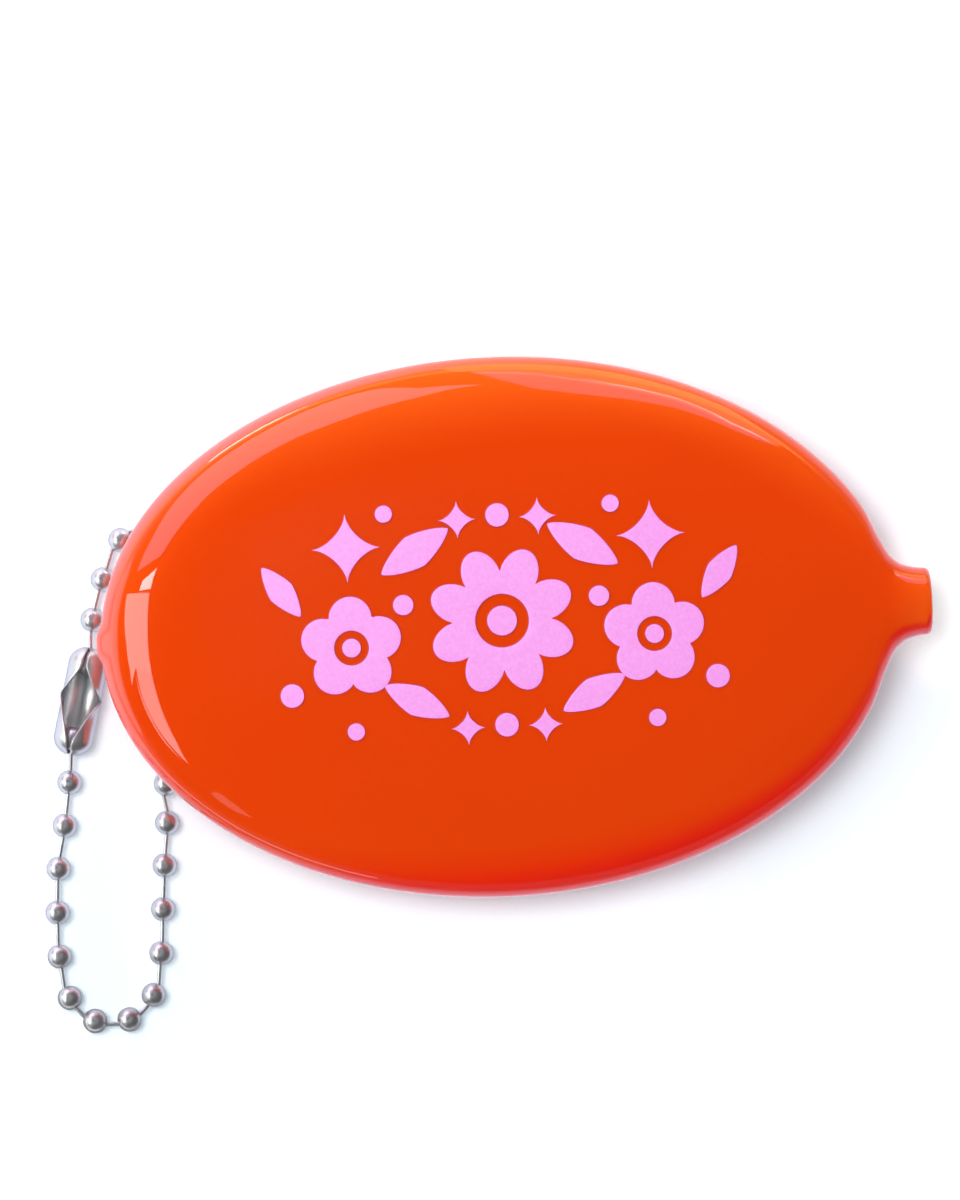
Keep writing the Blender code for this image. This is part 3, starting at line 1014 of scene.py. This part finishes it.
# Panels seen in the gloss: name, radiance, tint, corners as (azimuth, angle from straight up) in degrees
white = (1, 1, 1)
panel_distance = 0.9
edge_nearer = 0.01
panels = (
    ("panel_top_left", 2.75, (1, 0.74, 0.98), (
        (159, 65.5), (148.5, 71), (138.5, 80), (131, 84), (120, 86), (112.5, 88), (106, 88), (102, 85),
        (97, 72), (90.5, 67), (93.5, 65), (97, 62), (100.5, 60.5), (107, 58.5), (114, 58.5),
        (123, 57.5), (132.5, 56.5), (142, 54), (154, 52))),
    ("panel_gap", 13.0, white, ((162.5, 56.5), (158, 50), (165.5, 48.5), (166, 56))),
    ("panel_left", 5.6, white, (
        (166.5, 68), (172, 66), (178, 64), (181, 62.5), (185, 61.5), (190, 63.5), (184.5, 56.5),
        (185.5, 46.5), (181, 46.5), (178.5, 46.5), (173, 47), (167, 48.5))),
    ("panel_left_tail", 5.0, white, (
        (184.5, 55.5), (190, 56.5), (197.5, 58), (205, 59.5), (211.5, 60.5), (218.5, 60.5),
        (211, 53.5), (201.5, 49.5), (192.5, 47), (185.5, 46.5))),
    ("panel_left_sliver", 4.6, white, (
        (186, 57), (190, 58), (197.5, 60), (205, 62), (211.5, 63.5), (217, 62.5),
        (211.5, 62), (205, 60.5), (197.5, 58.5), (190, 57.5))),
    ("panel_low_left", 1.5, white, (
        (160, 76), (168, 75), (176, 74), (186, 74.5), (196, 77), (205, 82), (208, 89.5),
        (198, 89.5), (176, 89.5), (160, 89.5), (153, 84))),
    ("panel_low_streak", 1.2, white, (
        (227, 68.5), (228, 64.5), (230, 64.5), (233, 66.5), (236, 70), (234, 73.5), (231, 74),
        (228, 72.5))),
    ("panel_right", 1.65, (1, 0.72, 1.15), (
        (91.5, 87.5), (88.5, 72), (85, 62), (80.5, 60.5), (76.5, 61.5), (71.5, 65), (67, 68.5),
        (62.5, 69.5), (57.5, 70), (54, 73.5), (50.5, 82), (54.5, 79), (58.5, 76.5), (63.5, 79.5),
        (67.5, 81.5), (71.5, 80), (76, 79), (81, 80), (86.5, 85.5))),
    ("panel_right_warm", 2.0, (1, 0.8, 0.47), (
        (91.5, 87.5), (86.5, 85.5), (81, 80.5), (76, 80.5), (71.5, 82), (67.5, 84.5), (63.5, 82),
        (58.5, 80), (54.5, 82), (50.5, 82.5), (50, 90), (60, 90), (70, 90), (80, 90), (91.5, 90))),
    ("panel_right_edge", 2.9, (1, 0.8, 1.1), (
        (91.5, 87.5), (86.5, 85.5), (81, 80), (76, 79), (71.5, 80), (67.5, 81.5), (63.5, 79.5),
        (58.5, 76.5), (58.5, 74.5), (63.5, 76.5), (67.5, 78), (71.5, 77), (76, 75.5), (81, 76.5),
        (86.5, 81), (90.5, 84))),
    ("panel_right_line", 6.5, white, (
        (81, 80.5), (76, 79), (71.5, 80), (67.5, 82), (63.5, 80), (58.5, 76.5), (54.5, 78),
        (50.5, 81.5), (54.5, 82), (58.5, 79.5), (63.5, 82), (67.5, 84), (71.5, 82), (76, 80.5))),
)

# Strips on the floor, seen only in the gloss: name, height, colour, radiance, and two edges as
# places in millimetres beside the pouch
floor_strips = (
    ("strip_line", 0.6, white, 12.0,
     ((-84, 88), (-72, 75), (-61, 81), (-52, 86), (-46, 103)),
     ((-84, 88), (-91, 99), (-77, 107), (-66, 112), (-46, 103))),
    ("strip_low_left", 0.3, (1, 0.95, 1), 2.0,
     ((-83, -31), (-70, -49), (-47, -65), (-27, -72)),
     ((-101, -40), (-84, -63), (-55, -83), (-32, -91))),
    ("strip_warm", 0.3, (1, 0.5, 0.1), 3.0,
     ((-112, 30), (-98, 62), (-66, 92), (-24, 106), (24, 108), (60, 100), (96, 80)),
     ((-260, 60), (-230, 150), (-150, 230), (-60, 270), (60, 275), (150, 240), (220, 170))),
    ("strip_warm_right", 0.4, (1, 0.84, 0.36), 2.8,
     ((-8, 67), (10, 67), (34, 61), (47, 55)),
     ((-40, 850), (180, 830), (430, 730), (560, 540))),
)

# Camera, straight above
sensor_width = 36.0
camera_distance = 2.0
seen_width = 155.04 * MM
camera_side = (-0.04 * MM, 11.2 * MM)
camera_turn = -2.75


def around(azimuth, zenith, distance):
    """A place at a distance, from its azimuth and its angle from straight up."""
    a, z = math.radians(azimuth), math.radians(zenith)
    return Vector((math.sin(z) * math.cos(a), math.sin(z) * math.sin(a), math.cos(z))) * distance


def reflected_only(name, points, faces, place, radiance, colour):
    """A glowing card of the stage that only the gloss sees."""
    mesh = bpy.data.meshes.new(name)
    mesh.from_pydata(points, [], faces)
    obj = put_in_scene(name, mesh)
    obj.location = place
    glow = bpy.data.materials.new(name)
    tree = empty_tree(glow)
    light = node(tree, "ShaderNodeEmission", Color=(*colour, 1), Strength=radiance)
    node(tree, "ShaderNodeOutputMaterial", Surface=light.outputs["Emission"])
    mesh.materials.append(glow)
    obj.visible_camera = False
    obj.visible_diffuse = False
    obj.visible_shadow = False


def build_panels():
    for name, radiance, tint, corners in panels:
        distance = panel_distance - (edge_nearer if name.endswith("edge") else 0)
        ring = [around(azimuth, zenith, distance) for azimuth, zenith in corners]
        place = pouch_place + Vector((0, 0, rim_height))
        reflected_only(name, ring, [tuple(range(len(ring)))], place, radiance, tint)
    for name, height, colour, radiance, near, far in floor_strips:
        count = len(near)
        points = [(x * MM, y * MM, height * MM) for x, y in near + far]
        faces = [(i, i + 1, count + i + 1, count + i) for i in range(count - 1)]
        reflected_only(name, points, faces, pouch_place, radiance, colour)


def light_path(tree):
    """Whether a ray comes from the camera, and whether from a gloss or through something clear."""
    seen = node(tree, "ShaderNodeLightPath").outputs
    return seen["Is Camera Ray"], maths(tree, "MAXIMUM", seen["Is Glossy Ray"], seen["Is Transmission Ray"])


def floor_material():
    """Matt white with a lift for the camera, and a glow for the gloss that ends round the pouch; a painted
    shadow darkens it on the lower right near the pouch, and painted light clears a spot beyond the neck's
    end.
    """
    made = bpy.data.materials.new("white_floor")
    tree = empty_tree(made)
    where = node(tree, "ShaderNodeTexCoord").outputs["Object"]
    in_view, in_gloss = light_path(tree)
    stretch = oval_length / oval_width
    middle = (-pouch_place.x, -pouch_place.y * stretch, 0)
    from_pouch = vectors(tree, "LENGTH", vectors(tree, "MULTIPLY_ADD", where, (1, stretch, 0), middle))
    to_side = vectors(tree, "DOT_PRODUCT", where, bright_way)
    side = eased(tree, to_side, *bright_side)
    far = maths(tree, "MULTIPLY_ADD", side, -white_further_on_bright_side, from_pouch)
    near = eased(tree, far, *white_reach, 1, 0)
    strength = maths(tree, "MULTIPLY_ADD", side, bright_in_gloss - near_in_gloss, near_in_gloss)
    gloss_glow = maths(tree, "MULTIPLY", in_gloss, maths(tree, "MULTIPLY", near, strength))
    level = maths(tree, "ADD", gloss_glow, maths(tree, "MULTIPLY", in_view, floor_lift))
    # Painted light: a spot beyond the neck's end lifted to white
    painted_light_spot = eased(tree, vectors(tree, "DISTANCE", where, painted_light_place), *painted_light_reach, 1, 0)
    lift_tint = mixed(tree, painted_light_spot, floor_lift_tint, painted_light_tint)
    tint = mixed(tree, in_gloss, lift_tint, floor_gloss_tint)
    glow = node(tree, "ShaderNodeEmission", Color=tint, Strength=level).outputs["Emission"]
    # Painted shadow: darker on the lower right, close to the pouch
    close = eased(tree, from_pouch, *painted_shadow_reach, 1, 0)
    deeper = maths(tree, "MULTIPLY", eased(tree, to_side, *painted_shadow_side), close)
    tone = mixed(tree, deeper, (floor_tone,) * 3, (painted_shadow_tone,) * 3)
    tone = mixed(tree, in_gloss, tone, (floor_tone_in_gloss,) * 3)
    matt = node(tree, "ShaderNodeBsdfDiffuse", Color=tone).outputs["BSDF"]
    both = in_order(tree, "ShaderNodeAddShader", (matt, glow))["Shader"]
    node(tree, "ShaderNodeOutputMaterial", Surface=both)
    return made


def build_floor():
    half = floor_size / 2
    mesh = bpy.data.meshes.new("floor")
    corners = [(-half, -half, 0), (half, -half, 0), (half, half, 0), (-half, half, 0)]
    mesh.from_pydata(corners, [], [(0, 1, 2, 3)])
    mesh.materials.append(floor_material())
    put_in_scene("floor", mesh)


def background(tree, **settings):
    return node(tree, "ShaderNodeBackground", **settings).outputs["Background"]


def build_world():
    """White to the camera, dark to gloss except for the panels, and an even fill on matt surfaces."""
    world = bpy.data.worlds.new("studio")
    bpy.context.scene.world = world
    tree = empty_tree(world)
    in_view, in_gloss = light_path(tree)
    way = node(tree, "ShaderNodeTexCoord").outputs["Generated"]
    to_key = vectors(tree, "DOT_PRODUCT", way, around(*key_way, 1))
    key_ends = (math.cos(math.radians(angle)) for angle in key_reach)
    key = eased(tree, to_key, *key_ends, 0, key_radiance)
    height = node(tree, "ShaderNodeSeparateXYZ", Vector=way).outputs["Z"]
    band_ends = (math.sin(math.radians(angle)) for angle in band_reach)
    band = eased(tree, height, *band_ends, 0, band_radiance)
    lean = maths(tree, "ADD", vectors(tree, "DOT_PRODUCT", way, band_lean), 1)
    level = maths(tree, "ADD", maths(tree, "MULTIPLY_ADD", band, lean, fill), key)
    even = background(tree, Color=(*fill_tint, 1), Strength=level)
    dark = background(tree, Strength=dark_studio)
    lit = in_order(tree, "ShaderNodeMixShader", (in_gloss, even, dark))["Shader"]
    whole = in_order(tree, "ShaderNodeMixShader", (in_view, lit, background(tree)))["Shader"]
    node(tree, "ShaderNodeOutputWorld", Surface=whole)


def build_camera():
    data = bpy.data.cameras.new("photo_camera")
    data.sensor_width = sensor_width
    data.lens = data.sensor_width * camera_distance / seen_width
    camera = put_in_scene("photo_camera", data)
    camera.location = (*camera_side, rim_height + camera_distance)
    camera.rotation_euler = (0, 0, math.radians(camera_turn))
    bpy.context.scene.camera = camera


def dress_skins(skins, knots):
    """The body rides with the pouch; each strip of the back is baked where it lies, and the lip it stands
    for is hidden.
    """
    vinyl = vinyl_material()
    for name, obj in skins.items():
        obj.data.materials.append(vinyl)
        if name == "body":
            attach(obj, "pouch")
            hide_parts("shell")
            continue
        half, strip = name.split("_")
        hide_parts(f"{half}_lip")
        bpy.context.view_layer.update()
        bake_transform(obj)


def main():
    centres = bead_centres()
    holes = [centres[int(name[-2:]) - 1] - pouch_place for name in punched_hole_beads]
    dress_skins(*build_skin(holes))
    film, dark = build_print()
    film.data.materials.append(ink_material("pink_ink", *pink_ink))
    film.data.materials.append(ink_material("ink_edge", *dark_ink))
    for face, edge in zip(film.data.polygons, dark):
        face.material_index = int(edge)
    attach(film, "pouch")
    build_chain(centres, nickel_material())
    build_floor()
    build_panels()
    build_world()
    build_camera()
    bpy.context.scene.view_settings.view_transform = "Standard"
    bpy.context.view_layer.update()


main()
